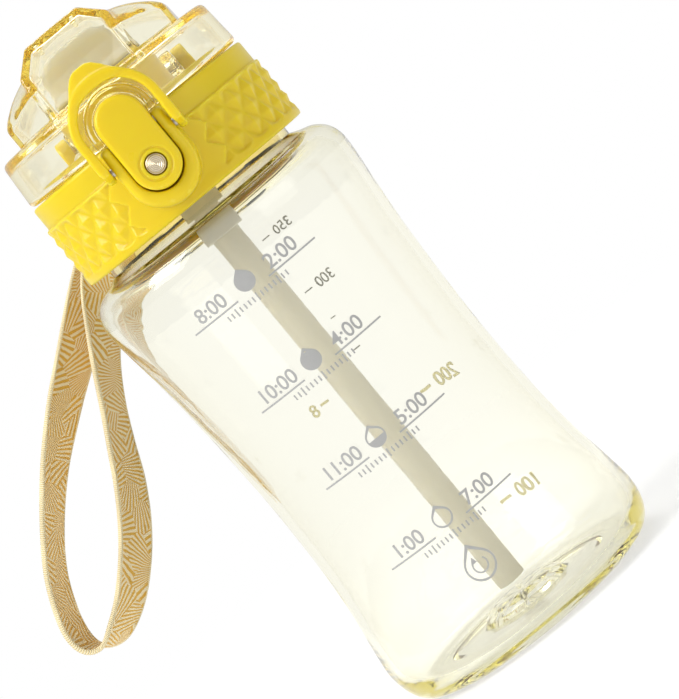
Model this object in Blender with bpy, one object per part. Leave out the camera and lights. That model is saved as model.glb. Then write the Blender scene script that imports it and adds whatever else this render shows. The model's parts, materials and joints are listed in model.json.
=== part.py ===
"""Kids' water bottle with a screw lid, a clear flip cover over a straw spout, a push latch with a lock
bail, and a webbing wrist strap.

The bottle stands on z = 0 with its axis on +Z. The latch faces -Y and the cover's hinge is at +Y.
Lengths below are in millimetres; MM turns them into metres when a mesh is made.
"""

import math

import bmesh
import bpy
from mathutils import Vector

MM = 0.001
SEGMENTS = 40          # facets round a turned piece
GAP = 0.3              # clearance between neighbouring pieces

# bottle
FLOOR_Z = 3.0
BASE_RING_INNER = 22.0
BASE_RING_OUTER = 27.5
BELLY_R = 34.9
WAIST_R = 31.15
SHOULDER_R = 34.3
NECK_R = 25.2
NECK_BORE_R = 23.0
RIM_Z = 135.8
PUNT_R = 12.2
PUNT_TOP_R = 8.0
PUNT_TOP_Z = 6.3

# screw thread of the neck and the lid
THREAD_PITCH = 4.0
NECK_TURNS = 1.5
LID_TURNS = 1.25
THREAD_OFFSET = 2.4    # the lid's ridge runs just under the neck's
THREAD_LOW_Z = 126.0
THREAD_WIDTH = 1.3

# lid
BAND_BOTTOM_Z = 120.0
BAND_TOP_Z = 135.5
BAND_R = 30.4
UPPER_R = 29.5
UPPER_TOP_Z = 141.0
LID_BORE_R = 28.0
DECK_UNDER_Z = 139.0
DECK_R = 25.5
DECK_TOP_Z = 143.3
TOWER_R = 13.4
TOWER_TOP_Z = 153.6
TOWER_BORE_R = 8.3
VENT_X = -13.3
VENT_Y = 11.5

# clear cover
COVER_BOTTOM_Z = 141.4
COVER_R = 29.3
COVER_TOP_R = 28.5
SHELF_Z = 152.8
COVER_WALL = 2.0
BLOCK_HALF = 22.2
BAY_HALF = 12.2
TOP_HALF = 7.2
TOP_Z = 168.8

# hinge of the cover
HINGE_Y = 30.9
HINGE_Z = 146.5
HINGE_PIN_R = 1.25
LUG_IN_X = 16.5
LUG_OUT_X = 20.5

# latch
HOUSING_HALF = 8.3
HOUSING_LOW_Z = 121.9
HOUSING_TOP_Z = 141.0
HOUSING_FRONT_Y = -36.6
POCKET_BACK_Y = -30.4
BUTTON_HALF = 5.55
BUTTON_LOW_Z = 126.2
BUTTON_TOP_Z = 148.9
BUTTON_BACK_Y = -32.0
BUTTON_FRONT_Y = -38.4
LIP_HALF = 8.0
LIP_FRONT_Y = -35.2
STUD_Z = 131.7
LATCH_PIN_Y = -34.0
LATCH_PIN_Z = 139.2
BAIL_PIN_Y = -33.0
BAIL_PIN_Z = 136.0
BAIL_IN = 8.8
BAIL_OUT = 10.8
BAIL_CENTRE_Z = 143.9
BAIL_BACK_Y = -35.6
BAIL_FRONT_Y = -38.0

# wrist strap
STRAP_X = -21.0
STRAP_Z = 128.0
EAR_BACK_Y = 34.2
WEBBING_WIDTH = 10.0
WEBBING_THICK = 1.4
# centre line of the loop: x, y, z, and the webbing's turn about the line in degrees, which is 0 or 180
# where its broad face looks to the back; the two ends lie flat on each other under the stud's head
STRAP_ROUTE = [
    (-21.0, 36.8, 128.0, 0), (-26.0, 37.0, 125.1, 0), (-31.8, 38.2, 121.2, 10), (-38.5, 39.4, 116.3, 20),
    (-47.3, 40.4, 109.3, 28), (-57.3, 41.0, 101.6, 40), (-68.2, 41.4, 92.0, 56), (-77.6, 41.4, 81.6, 64),
    (-84.0, 41.4, 72.6, 66), (-87.9, 41.4, 64.0, 66), (-89.2, 41.4, 58.4, 68), (-88.5, 41.4, 54.6, 78),
    (-85.8, 41.4, 52.4, 100), (-81.2, 41.4, 52.9, 122), (-74.5, 41.4, 56.9, 132), (-67.5, 41.4, 63.4, 136),
    (-61.6, 41.4, 70.6, 136), (-56.6, 41.4, 78.4, 132), (-52.4, 41.4, 86.6, 124), (-48.0, 41.2, 94.8, 120),
    (-42.9, 39.9, 103.2, 126), (-37.2, 37.9, 111.0, 142), (-31.6, 35.9, 118.2, 164), (-26.8, 35.3, 122.9, 177),
    (-24.0, 35.2, 125.6, 180), (-21.0, 35.2, 128.6, 180),
]


# ---------------------------------------------------------------- helpers

def clear_scene():
    for obj in list(bpy.data.objects):
        bpy.data.objects.remove(obj, do_unlink=True)


def plastic(name, colour, roughness, metallic=0.0, alpha=1.0):
    mat = bpy.data.materials.new(name)
    mat.use_nodes = True
    shader = mat.node_tree.nodes["Principled BSDF"]
    shader.inputs["Base Color"].default_value = (*colour, 1.0)
    shader.inputs["Roughness"].default_value = roughness
    shader.inputs["Metallic"].default_value = metallic
    shader.inputs["Alpha"].default_value = alpha
    return mat


def solid(name, bm, mat=None):
    """An object from a bmesh in millimetres, closed and facing out."""
    bmesh.ops.remove_doubles(bm, verts=bm.verts, dist=1e-4)
    bmesh.ops.recalc_face_normals(bm, faces=bm.faces)
    bmesh.ops.scale(bm, vec=(MM, MM, MM), verts=bm.verts)
    mesh = bpy.data.meshes.new(name)
    bm.to_mesh(mesh)
    bm.free()
    mesh.set_sharp_from_angle(angle=math.radians(32))
    obj = bpy.data.objects.new(name, mesh)
    bpy.context.collection.objects.link(obj)
    if mat:
        mesh.materials.append(mat)
    return obj


def combine(obj, others, operation):
    """Joins the others to obj, or cuts them from it, and leaves one plain mesh."""
    for other in others:
        mod = obj.modifiers.new("Boolean", "BOOLEAN")
        mod.object = other
        mod.operation = operation
        other.hide_render = True
        other.display_type = "WIRE"
        evaluated = obj.evaluated_get(bpy.context.evaluated_depsgraph_get())
        mesh = bpy.data.meshes.new_from_object(evaluated)
        obj.modifiers.clear()
        obj.data = mesh
        bpy.data.objects.remove(other, do_unlink=True)
    bm = bmesh.new()
    bm.from_mesh(obj.data)
    bmesh.ops.remove_doubles(bm, verts=bm.verts, dist=2e-6)
    bmesh.ops.dissolve_degenerate(bm, dist=2e-6, edges=bm.edges)
    bmesh.ops.triangulate(bm, faces=bm.faces)
    bm.to_mesh(obj.data)
    bm.free()
    obj.data.set_sharp_from_angle(angle=math.radians(32))
    return obj


def turned(profile, steps=SEGMENTS):
    """Spins a closed (radius, z) outline about +Z."""
    bm = bmesh.new()
    verts = [bm.verts.new((r, 0.0, z)) for r, z in profile]
    edges = [bm.edges.new((verts[i - 1], verts[i])) for i in range(len(verts))]
    bmesh.ops.spin(
        bm, geom=verts + edges, cent=(0, 0, 0), axis=(0, 0, 1), angle=math.tau, steps=steps, use_merge=True
    )
    return bm


def extruded(outline, low, high, axis):
    """Extrudes a 2-D outline along an axis: x keeps (y, z), y keeps (x, z), z keeps (x, y)."""
    place = {
        "x": lambda a, b, c: (c, a, b),
        "y": lambda a, b, c: (a, c, b),
        "z": lambda a, b, c: (a, b, c),
    }[axis]
    bm = bmesh.new()
    face = bm.faces.new([bm.verts.new(place(a, b, low)) for a, b in outline])
    made = bmesh.ops.extrude_face_region(bm, geom=[face])
    moved = [v for v in made["geom"] if isinstance(v, bmesh.types.BMVert)]
    bmesh.ops.translate(bm, verts=moved, vec=Vector(place(0, 0, high - low)))
    return bm


def arc(cx, cy, r, start, end, steps):
    return [
        (
            cx + r * math.cos(math.radians(start + (end - start) * i / steps)),
            cy + r * math.sin(math.radians(start + (end - start) * i / steps)),
        )
        for i in range(steps + 1)
    ]


def rod(axis, centre, r, low, high, steps=16):
    a, b = centre
    return extruded(arc(a, b, r, 0, 360 - 360 / steps, steps - 1), low, high, axis)


def hull(points):
    bm = bmesh.new()
    for point in points:
        bm.verts.new(point)
    made = bmesh.ops.convex_hull(bm, input=bm.verts)
    unused = {v for v in made["geom_interior"] + made["geom_unused"] if isinstance(v, bmesh.types.BMVert)}
    bmesh.ops.delete(bm, geom=list(unused), context="VERTS")
    return bm


def mirrored(points):
    return [(sign * x, y, z) for x, y, z in points for sign in (-1, 1)]


def spline(points, per_span):
    """Catmull-Rom points through a list of equal-length tuples."""
    out = []
    padded = [points[0], *points, points[-1]]
    for i in range(1, len(padded) - 2):
        a, b, c, d = padded[i - 1:i + 3]
        for k in range(per_span):
            t = k / per_span
            out.append(tuple(
                0.5 * (2 * q + (r - p) * t + (2 * p - 5 * q + 4 * r - s) * t * t + (3 * q - p - 3 * r + s) * t ** 3)
                for p, q, r, s in zip(a, b, c, d)
            ))
    out.append(tuple(points[-1]))
    return out


def swept(sections):
    """A closed solid through rings of equal point counts, capped at both ends."""
    bm = bmesh.new()
    rings = [[bm.verts.new(p) for p in ring] for ring in sections]
    count = len(rings[0])
    for near, far in zip(rings, rings[1:]):
        for i in range(count):
            bm.faces.new((near[i - 1], near[i], far[i], far[i - 1]))
    bm.faces.new(rings[0][::-1])
    bm.faces.new(rings[-1])
    return bm


def thread(root_r, crest_r, base_z, turns):
    """A helical ridge whose flat crest is half as wide as its root."""
    steps = int(turns * SEGMENTS)
    sections = []
    for i in range(steps + 1):
        angle = math.tau * i / SEGMENTS
        z = base_z + THREAD_PITCH * i / SEGMENTS
        fade = min(1.0, i / 5, (steps - i) / 5)
        crest = root_r + (crest_r - root_r) * (0.25 + 0.75 * fade)
        half, tip = THREAD_WIDTH / 2, THREAD_WIDTH / 4
        ring = [(root_r, z - half), (crest, z - tip), (crest, z + tip), (root_r, z + half)]
        sections.append([(r * math.cos(angle), r * math.sin(angle), h) for r, h in ring])
    return swept(sections)


def coil(name, mat, centre, r, wire, low, high, turns, legs=()):
    """A helical spring about an X or Y axis, with straight legs given as points."""
    axis, a, b = centre
    steps = int(turns * 10)
    points = []
    for i in range(steps + 1):
        angle = math.tau * i / 10
        along = low + (high - low) * i / steps
        u, v = a + r * math.cos(angle), b + r * math.sin(angle)
        points.append((along, u, v) if axis == "x" else (u, along, v))
    if legs:
        points = [legs[0], *points, legs[1]]
    curve = bpy.data.curves.new(name, "CURVE")
    curve.dimensions = "3D"
    curve.bevel_depth = wire * MM
    curve.bevel_resolution = 1
    curve.use_fill_caps = True
    line = curve.splines.new("POLY")
    line.points.add(len(points) - 1)
    for point, place in zip(line.points, points):
        point.co = (*(c * MM for c in place), 1.0)
    curve.materials.append(mat)
    obj = bpy.data.objects.new(name, curve)
    bpy.context.collection.objects.link(obj)
    return obj


# ---------------------------------------------------------------- bottle

def bottle_body(mat):
    outer = spline(
        [
            (BASE_RING_OUTER, 0.0), (31.6, 1.7), (34.0, 5.2), (BELLY_R, 11.0), (34.0, 18.5), (32.6, 27.5),
            (31.6, 38.0), (WAIST_R, 50.0), (WAIST_R, 62.0), (31.6, 75.0), (32.5, 90.0), (33.7, 101.5),
            (SHOULDER_R, 108.0), (34.1, 111.4), (32.9, 114.2), (30.4, 116.3), (27.4, 117.3), (NECK_R, 118.2),
        ],
        2,
    )
    inner = spline(
        [
            (NECK_BORE_R, 117.0), (26.4, 115.4), (29.4, 114.2), (31.2, 112.4), (32.1, 109.0), (31.7, 101.5),
            (30.5, 90.0), (29.6, 75.0), (29.15, 62.0), (29.15, 50.0), (29.6, 38.0), (30.6, 27.5),
            (32.0, 18.5), (32.7, 11.0), (31.6, 6.4), (28.6, 3.6), (24.0, FLOOR_Z),
        ],
        1,
    )
    neck = [(NECK_R, RIM_Z), (NECK_BORE_R, RIM_Z)]
    floor = [(PUNT_R, FLOOR_Z), (PUNT_TOP_R, PUNT_TOP_Z), (0.0, PUNT_TOP_Z)]
    under = [(0.0, 3.9), (7.2, 3.9), (11.0, 1.0), (BASE_RING_INNER - 1.5, 1.0), (BASE_RING_INNER, 0.0)]
    profile = outer + neck + inner + floor + under
    bm = bmesh.new()
    verts = [bm.verts.new((r, 0.0, z)) for r, z in profile]
    edges = [bm.edges.new((verts[i], verts[i + 1])) for i in range(len(verts) - 1)]
    edges += [bm.edges.new((verts[-1], verts[0]))]
    edges = [e for e in edges if max(v.co.x for v in e.verts) > 0]
    bmesh.ops.spin(
        bm, geom=verts + edges, cent=(0, 0, 0), axis=(0, 0, 1), angle=math.tau, steps=SEGMENTS, use_merge=True
    )
    body = solid("bottle_body", bm, mat)
    ridge = solid("neck_thread", thread(NECK_R - 0.6, 26.9, THREAD_LOW_Z, NECK_TURNS))
    return combine(body, [ridge], "UNION")


# ---------------------------------------------------------------- lid

def housing_outline(half, low_z, top_z):
    """A U in (x, z): straight sides and a half-round bottom."""
    return [*arc(0.0, low_z + half, half, 180, 360, 12), (half, top_z), (-half, top_z)]


def lid_collar(mat):
    band = solid("lid_collar", turned([
        (BAND_R, BAND_BOTTOM_Z), (BAND_R, BAND_TOP_Z), (UPPER_R, BAND_TOP_Z + 0.4), (UPPER_R, UPPER_TOP_Z),
        (DECK_R, UPPER_TOP_Z), (DECK_R - 0.6, DECK_TOP_Z), (TOWER_R + 0.8, DECK_TOP_Z),
        (TOWER_R, DECK_TOP_Z + 0.8), (TOWER_R, TOWER_TOP_Z - 1.0), (TOWER_R - 1.2, TOWER_TOP_Z),
        (TOWER_BORE_R, TOWER_TOP_Z), (TOWER_BORE_R, 110.0), (20.0, 110.0), (20.0, BAND_BOTTOM_Z),
    ]), mat)
    bracket = solid("bracket", extruded(
        [(22.0, 127.5), (27.0, 124.0), (30.5, 124.0), (34.0, 129.5), (34.0, 141.0), (22.0, 141.0)],
        -LUG_OUT_X, LUG_OUT_X, "x",
    ))
    ear = solid("ear", rod("y", (STRAP_X, STRAP_Z), 6.0, 20.0, EAR_BACK_Y, 20))
    lugs = []
    for sign in (-1, 1):
        low, high = sorted((sign * LUG_IN_X, sign * (LUG_OUT_X + 0.05)))
        outline = [(26.5, 139.0), (34.3, 139.0), *arc(HINGE_Y, HINGE_Z, 3.4, 0, 180, 8)]
        lugs.append(solid("lug", extruded(outline, low, high, "x")))
    housing = solid("housing", extruded(
        housing_outline(HOUSING_HALF, HOUSING_LOW_Z, HOUSING_TOP_Z), HOUSING_FRONT_Y, -26.0, "y"
    ))
    combine(band, [bracket, ear, *lugs, housing], "UNION")
    hollow = solid("hollow", turned([
        (LID_BORE_R, 100.0), (LID_BORE_R, DECK_UNDER_Z), (22.2, DECK_UNDER_Z), (22.2, 131.5), (20.4, 131.5),
        (20.4, DECK_UNDER_Z), (4.0, DECK_UNDER_Z), (4.0, 100.0),
    ]))
    pocket = solid("pocket", extruded(
        housing_outline(BUTTON_HALF + 0.35, BUTTON_LOW_Z - 0.35, 160.0), -45.0, POCKET_BACK_Y, "y"
    ))
    holes = [
        hollow,
        pocket,
        solid("pin_bore", rod("x", (HINGE_Y, HINGE_Z), HINGE_PIN_R + GAP, -30.0, 30.0)),
        solid("latch_bore", rod("x", (LATCH_PIN_Y, LATCH_PIN_Z), 1.2, -20.0, 20.0, 12)),
        solid("bail_bore_left", rod("x", (BAIL_PIN_Y, BAIL_PIN_Z), 1.3, -20.0, -6.4, 12)),
        solid("bail_bore_right", rod("x", (BAIL_PIN_Y, BAIL_PIN_Z), 1.3, 6.4, 20.0, 12)),
        solid("stud_bore", rod("y", (STRAP_X, STRAP_Z), 2.7, 30.0, 50.0, 16)),
        solid("vent_bore", rod("z", (VENT_X, VENT_Y), 2.3, 130.0, 150.0, 12)),
    ]
    combine(band, holes, "DIFFERENCE")
    ridge = solid("lid_thread", thread(LID_BORE_R + 0.6, 25.7, THREAD_LOW_Z + THREAD_OFFSET, LID_TURNS))
    return combine(band, [ridge], "UNION")


def lid_gasket(mat):
    return solid("lid_gasket", turned([(26.6, 136.1), (27.0, 137.4), (26.6, 138.7), (22.6, 138.7), (22.6, 136.1)]), mat)


def straw_adapter(mat):
    return solid("straw_adapter", turned([
        (5.0, 111.0), (5.0, 136.4), (11.5, 136.4), (11.5, 138.7), (5.2, 138.7), (4.4, 140.0), (4.4, 149.0),
        (3.0, 149.0), (3.0, 139.0), (3.8, 138.4), (3.8, 111.0),
    ], 24), mat)


def straw(mat):
    return solid("straw", turned([(3.5, 9.0), (3.5, 138.0), (2.7, 138.0), (2.7, 9.0)], 24), mat)


def ellipse(a, b, y, z, steps=24):
    return [
        (a * math.cos(math.tau * i / steps), y + b * math.sin(math.tau * i / steps), z) for i in range(steps)
    ]


def spout(mat):
    body = solid("spout", swept([
        ellipse(7.9, 7.9, 0.0, 141.0), ellipse(7.9, 7.9, 0.0, 153.9), ellipse(11.2, 9.6, 0.0, 153.95),
        ellipse(11.0, 9.4, 0.0, 155.2), ellipse(9.9, 6.6, -2.2, 156.2), ellipse(9.7, 5.0, -5.0, 159.4),
        ellipse(8.9, 4.2, -7.4, 161.8), ellipse(6.4, 3.5, -9.0, 163.5), ellipse(3.2, 2.4, -9.6, 164.1),
    ]), mat)
    bore = solid("spout_bore", swept([
        ellipse(4.8, 4.8, 0.0, 139.0, 16), ellipse(4.8, 4.8, 0.0, 150.0, 16), ellipse(4.4, 3.6, -1.5, 156.0, 16),
        ellipse(4.6, 2.2, -6.0, 160.6, 16),
    ]))
    slit = solid("slit", hull([
        (x, y + dy, z) for x in (-2.6, 2.6) for dy in (-0.35, 0.35) for y, z in ((-6.0, 159.6), (-10.2, 165.5))
    ]))
    return combine(body, [bore, slit], "DIFFERENCE")


def vent_valve(mat):
    valve = solid("vent_valve", turned([
        (3.1, 143.6), (3.1, 144.1), (2.2, 144.7), (0.6, 144.9), (0.6, 137.6), (1.9, 137.6), (2.6, 138.6),
        (1.9, 138.6), (1.9, 143.6),
    ], 16), mat)
    valve.location = (VENT_X * MM, VENT_Y * MM, 0.0)
    return valve


# ---------------------------------------------------------------- clear cover

def main_block(inset):
    """The broad box of the cover, with a roof that falls away to both sides."""
    drop = inset
    roof = [(BLOCK_HALF, 157.8), (21.0, 159.4), (19.0, 161.0), (16.5, 162.6), (12.5, 164.3), (0.0, 165.6)]
    points = []
    for y, fall in ((-9.0 + inset * 0.4, 0.0), (8.0, 0.0), (19.5 - inset, 3.6)):
        for x, z in roof:
            points.append((max(x - inset, 0.0), y, z - fall - drop))
    points += [(BAY_HALF, -21.5 + inset, 161.5 - drop), (BAY_HALF, -21.5 + inset, 148.0)]
    points += [(BLOCK_HALF - inset, -9.0 + inset * 0.4, 148.0), (BLOCK_HALF - inset, 16.5 - inset, 148.0)]
    points += [(BLOCK_HALF - inset - 4.0, 19.5 - inset, 148.0)]
    return hull(mirrored(points))


def bay_block(inset):
    """The narrow middle of the cover, which stands proud and ends in a blunt prow at the front."""
    side, top, high = BAY_HALF - inset, TOP_HALF - inset * 0.4, TOP_Z - inset
    front = inset * 1.1
    points = [
        (side, -23.6 + front, 148.0), (side, -20.6 + front, 163.9 - inset), (side, 8.0, 163.9 - inset),
        (side, 18.5 - inset, 160.4 - inset), (side, 18.5 - inset, 148.0),
        (top, -18.0 + front, high), (top, 4.0, high), (top, 18.5 - inset, 163.0 - inset),
        (0.0, -27.6 + front, 148.0), (0.0, -19.4 + front, high),
    ]
    return hull(mirrored(points))


def dome_cover(mat):
    skirt = solid("dome_cover", turned([
        (COVER_R, COVER_BOTTOM_Z), (COVER_TOP_R + 0.1, SHELF_Z - 1.4), (COVER_TOP_R - 0.5, SHELF_Z - 0.4),
        (COVER_TOP_R - 1.6, SHELF_Z), (12.0, SHELF_Z), (12.0, COVER_BOTTOM_Z),
    ]), mat)
    lip = solid("lip", extruded(
        [*arc(0.0, 143.4, LIP_HALF, 0, 180, 14), (-LIP_HALF, COVER_BOTTOM_Z), (LIP_HALF, COVER_BOTTOM_Z)],
        LIP_FRONT_Y, -24.0, "y",
    ))
    arms = []
    for sign in (-1, 1):
        low, high = sorted((sign * 9.2, sign * (LUG_IN_X - GAP)))
        outline = [(22.0, 144.6), (HINGE_Y, HINGE_Z - 2.9), *arc(HINGE_Y, HINGE_Z, 2.9, -60, 90, 7), (22.0, 150.4)]
        arms.append(solid("arm", extruded(outline, low, high, "x")))
    combine(skirt, [solid("main", main_block(0.0)), solid("bay", bay_block(0.0)), lip, *arms], "UNION")
    inside = solid("inside", turned([
        (COVER_R - COVER_WALL, 130.0), (COVER_R - COVER_WALL, COVER_BOTTOM_Z),
        (COVER_TOP_R - COVER_WALL, SHELF_Z - 2.6), (COVER_TOP_R - COVER_WALL - 1.0, SHELF_Z - 1.8),
        (6.0, SHELF_Z - 1.8), (6.0, 130.0),
    ]))
    combine(inside, [
        solid("inside_middle", turned([(11.0, 130.0), (11.0, SHELF_Z - 1.9), (0.01, SHELF_Z - 1.9), (0.01, 130.0)], 12)),
        solid("main_inside", main_block(COVER_WALL)), solid("bay_inside", bay_block(COVER_WALL)),
    ], "UNION")
    tunnel = solid("tunnel", extruded(
        [*arc(0.0, 143.4, BUTTON_HALF + 0.35, 0, 180, 12), (-BUTTON_HALF - 0.35, 130.0), (BUTTON_HALF + 0.35, 130.0)],
        -50.0, -29.9, "y",
    ))
    spring_gap = solid("spring_gap", extruded(
        [(20.0, 130.0), (40.0, 130.0), (40.0, 150.7), (20.0, 150.7)], -8.9, 8.9, "x"
    ))
    bore = solid("bore", rod("x", (HINGE_Y, HINGE_Z), HINGE_PIN_R + GAP, -25.0, 25.0))
    return combine(skirt, [inside, tunnel, spring_gap, bore], "DIFFERENCE")


def hinge_pin(mat):
    return solid("hinge_pin", rod("x", (HINGE_Y, HINGE_Z), HINGE_PIN_R, -LUG_OUT_X + 0.2, LUG_OUT_X - 0.2), mat)


def hinge_springs(mat):
    for name, sign in (("hinge_spring_left", -1), ("hinge_spring_right", 1)):
        low, high = sign * 2.4, sign * 8.0
        foot = (low, HINGE_Y + 2.15, HINGE_Z - 4.6)
        toe = (high, HINGE_Y - 2.0, HINGE_Z + 3.4)
        coil(name, mat, ("x", HINGE_Y, HINGE_Z), 2.15, 0.4, low, high, 4.5, (foot, toe))


# ---------------------------------------------------------------- latch

def latch_button(mat):
    outline = [
        *arc(0.0, BUTTON_LOW_Z + BUTTON_HALF, BUTTON_HALF, 180, 360, 12),
        *arc(0.0, BUTTON_TOP_Z - BUTTON_HALF, BUTTON_HALF, 0, 180, 12),
    ]
    button = solid("latch_button", extruded(outline, BUTTON_FRONT_Y, BUTTON_BACK_Y, "y"), mat)
    nose = solid("nose", extruded(
        [(-32.6, 145.6), (-30.6, 145.6), (-30.6, 146.4), (-31.9, 147.6), (-32.6, 147.6)], -2.8, 2.8, "x"
    ))
    combine(button, [nose], "UNION")
    return combine(button, [
        solid("axle_bore", rod("x", (LATCH_PIN_Y, LATCH_PIN_Z), 1.2, -10.0, 10.0, 12)),
        solid("stud_hole", rod("y", (0.0, STUD_Z), 2.5, -45.0, -36.6, 16)),
        solid("spring_hole", rod("y", (0.0, 130.6), 2.6, -35.4, -25.0, 16)),
    ], "DIFFERENCE")


def button_stud(mat):
    stud = turned([(2.2, 0.0), (2.2, 1.5), (1.6, 1.9), (0.05, 2.0), (0.05, 0.0)], 20)
    obj = solid("button_stud", stud, mat)
    obj.rotation_euler = (math.radians(90), 0.0, 0.0)
    obj.location = (0.0, -36.9 * MM, STUD_Z * MM)
    return obj


def latch_pin(mat):
    return solid("latch_pin", rod("x", (LATCH_PIN_Y, LATCH_PIN_Z), 0.9, -8.0, 8.0, 12), mat)


def latch_spring(mat):
    return coil("latch_spring", mat, ("y", 0.0, 130.6), 1.8, 0.25, -35.0, -30.9, 4.0)


def lock_bail(mat):
    hoop = [
        (BAIL_OUT, 137.0), *arc(0.0, BAIL_CENTRE_Z, BAIL_OUT, 0, 180, 18), (-BAIL_OUT, 137.0),
        (-BAIL_IN, 137.0), *arc(0.0, BAIL_CENTRE_Z, BAIL_IN, 180, 0, 18), (BAIL_IN, 137.0),
    ]
    bail = solid("lock_bail", extruded(hoop, BAIL_FRONT_Y, BAIL_BACK_Y, "y"), mat)
    tab_low = [(x, y, 152.9) for x in (-5.4, 5.4) for y in (BAIL_FRONT_Y + 0.2, BAIL_BACK_Y - 0.1)]
    tab_mid = [(x, y, 155.4) for x in (-4.4, 4.4) for y in (-36.9, -34.8)]
    tab_top = [(x, y, 157.8) for x in (-2.2, 2.2) for y in (-35.8, -34.0)]
    arms = []
    for sign in (-1, 1):
        low, high = sorted((sign * (BAIL_IN + 0.05), sign * (BAIL_OUT - 0.05)))
        outline = [
            *arc(BAIL_PIN_Y, BAIL_PIN_Z, 2.1, -120, 60, 8), (BAIL_BACK_Y + 0.6, 140.5),
            (BAIL_FRONT_Y + 0.05, 140.5), (BAIL_FRONT_Y + 0.05, 136.2),
        ]
        arms.append(solid("arm", extruded(outline, low, high, "x")))
    combine(bail, [solid("tab", hull(tab_low + tab_mid + tab_top)), *arms], "UNION")
    return combine(bail, [solid("bore", rod("x", (BAIL_PIN_Y, BAIL_PIN_Z), 1.3, -15.0, 15.0, 12))], "DIFFERENCE")


def bail_pins(mat):
    for name, sign in (("bail_pin_left", -1), ("bail_pin_right", 1)):
        low, high = sorted((sign * 6.7, sign * (BAIL_OUT - 0.2)))
        solid(name, rod("x", (BAIL_PIN_Y, BAIL_PIN_Z), 1.0, low, high, 12), mat)


# ---------------------------------------------------------------- strap

def strap_stud(mat):
    shaft = solid("strap_stud", rod("y", (STRAP_X, STRAP_Z), 2.4, 30.3, 38.4, 16), mat)
    head = solid("head", rod("y", (STRAP_X, STRAP_Z), 4.8, 37.9, 39.0, 24))
    return combine(shaft, [head], "UNION")


def strap_frames():
    """Centre, width direction and thickness direction along the strap's loop."""
    line = spline(STRAP_ROUTE, 2)
    frames = []
    for i, (x, y, z, turn) in enumerate(line):
        near, far = line[max(i - 1, 0)], line[min(i + 1, len(line) - 1)]
        tangent = (Vector(far[:3]) - Vector(near[:3])).normalized()
        across = tangent.cross(Vector((0, 1, 0))).normalized()
        face = across.cross(tangent).normalized()
        angle = math.radians(turn)
        wide = across * math.cos(angle) + face * math.sin(angle)
        thick = face * math.cos(angle) - across * math.sin(angle)
        frames.append((Vector((x, y, z)), wide, thick))
    return frames


def wrist_strap(mat):
    half, deep = WEBBING_WIDTH / 2, WEBBING_THICK / 2
    sections = []
    for centre, wide, thick in strap_frames():
        sections.append([
            centre + wide * half * a + thick * deep * b for a, b in ((-1, -1), (1, -1), (1, 1), (-1, 1))
        ])
    strap = solid("wrist_strap", swept(sections), mat)
    hole = solid("hole", rod("y", (STRAP_X, STRAP_Z), 2.8, 30.0, 45.0, 16))
    return combine(strap, [hole], "DIFFERENCE")


def build():
    clear_scene()
    tint = plastic("clear_body", (0.93, 0.90, 0.70), 0.08, alpha=0.3)
    cover = plastic("clear_cover", (0.95, 0.91, 0.62), 0.08, alpha=0.35)
    yellow = plastic("yellow_plastic", (0.83, 0.68, 0.03), 0.35)
    silicone = plastic("white_silicone", (0.78, 0.76, 0.70), 0.5)
    frosted = plastic("frosted_straw", (0.80, 0.76, 0.66), 0.4, alpha=0.6)
    steel = plastic("steel", (0.55, 0.53, 0.50), 0.3, metallic=1.0)
    webbing = plastic("webbing", (0.60, 0.44, 0.17), 0.9)
    bottle_body(tint)
    lid_collar(yellow)
    lid_gasket(silicone)
    straw_adapter(silicone)
    straw(frosted)
    spout(silicone)
    vent_valve(silicone)
    dome_cover(cover)
    hinge_pin(steel)
    hinge_springs(steel)
    latch_button(yellow)
    button_stud(steel)
    latch_pin(steel)
    latch_spring(steel)
    lock_bail(yellow)
    bail_pins(steel)
    strap_stud(yellow)
    wrist_strap(webbing)


build()
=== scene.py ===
"""Looks of the kids' water bottle: fine meshes, materials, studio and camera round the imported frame.

The frame is in metres with the bottle's axis on +Z and the latch towards -Y. Shapes are worked out in
millimetres, as on the drawing, and MM turns them into metres when a mesh is made.
"""

import json
import math

import bmesh
import bpy
import numpy as np
from mathutils import Matrix, Vector

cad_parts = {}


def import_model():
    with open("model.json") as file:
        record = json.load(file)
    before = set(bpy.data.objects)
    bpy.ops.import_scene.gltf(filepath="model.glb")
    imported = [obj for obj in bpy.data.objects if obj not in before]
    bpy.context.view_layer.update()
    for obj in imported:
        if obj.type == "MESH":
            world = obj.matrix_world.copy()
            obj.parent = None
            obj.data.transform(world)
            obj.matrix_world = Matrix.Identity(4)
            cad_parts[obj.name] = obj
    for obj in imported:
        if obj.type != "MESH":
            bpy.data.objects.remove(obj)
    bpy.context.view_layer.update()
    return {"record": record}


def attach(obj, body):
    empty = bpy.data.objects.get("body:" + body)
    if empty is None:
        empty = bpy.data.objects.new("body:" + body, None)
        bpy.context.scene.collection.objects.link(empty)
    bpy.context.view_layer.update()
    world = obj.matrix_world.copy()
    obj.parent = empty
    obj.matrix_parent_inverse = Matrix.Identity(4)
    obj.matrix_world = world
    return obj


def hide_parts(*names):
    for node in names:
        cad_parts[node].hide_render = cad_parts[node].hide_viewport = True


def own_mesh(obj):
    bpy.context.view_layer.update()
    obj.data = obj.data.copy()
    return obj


MM = 0.001
FINE = 1.0      # mesh step, coarser while things are tried out

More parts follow.
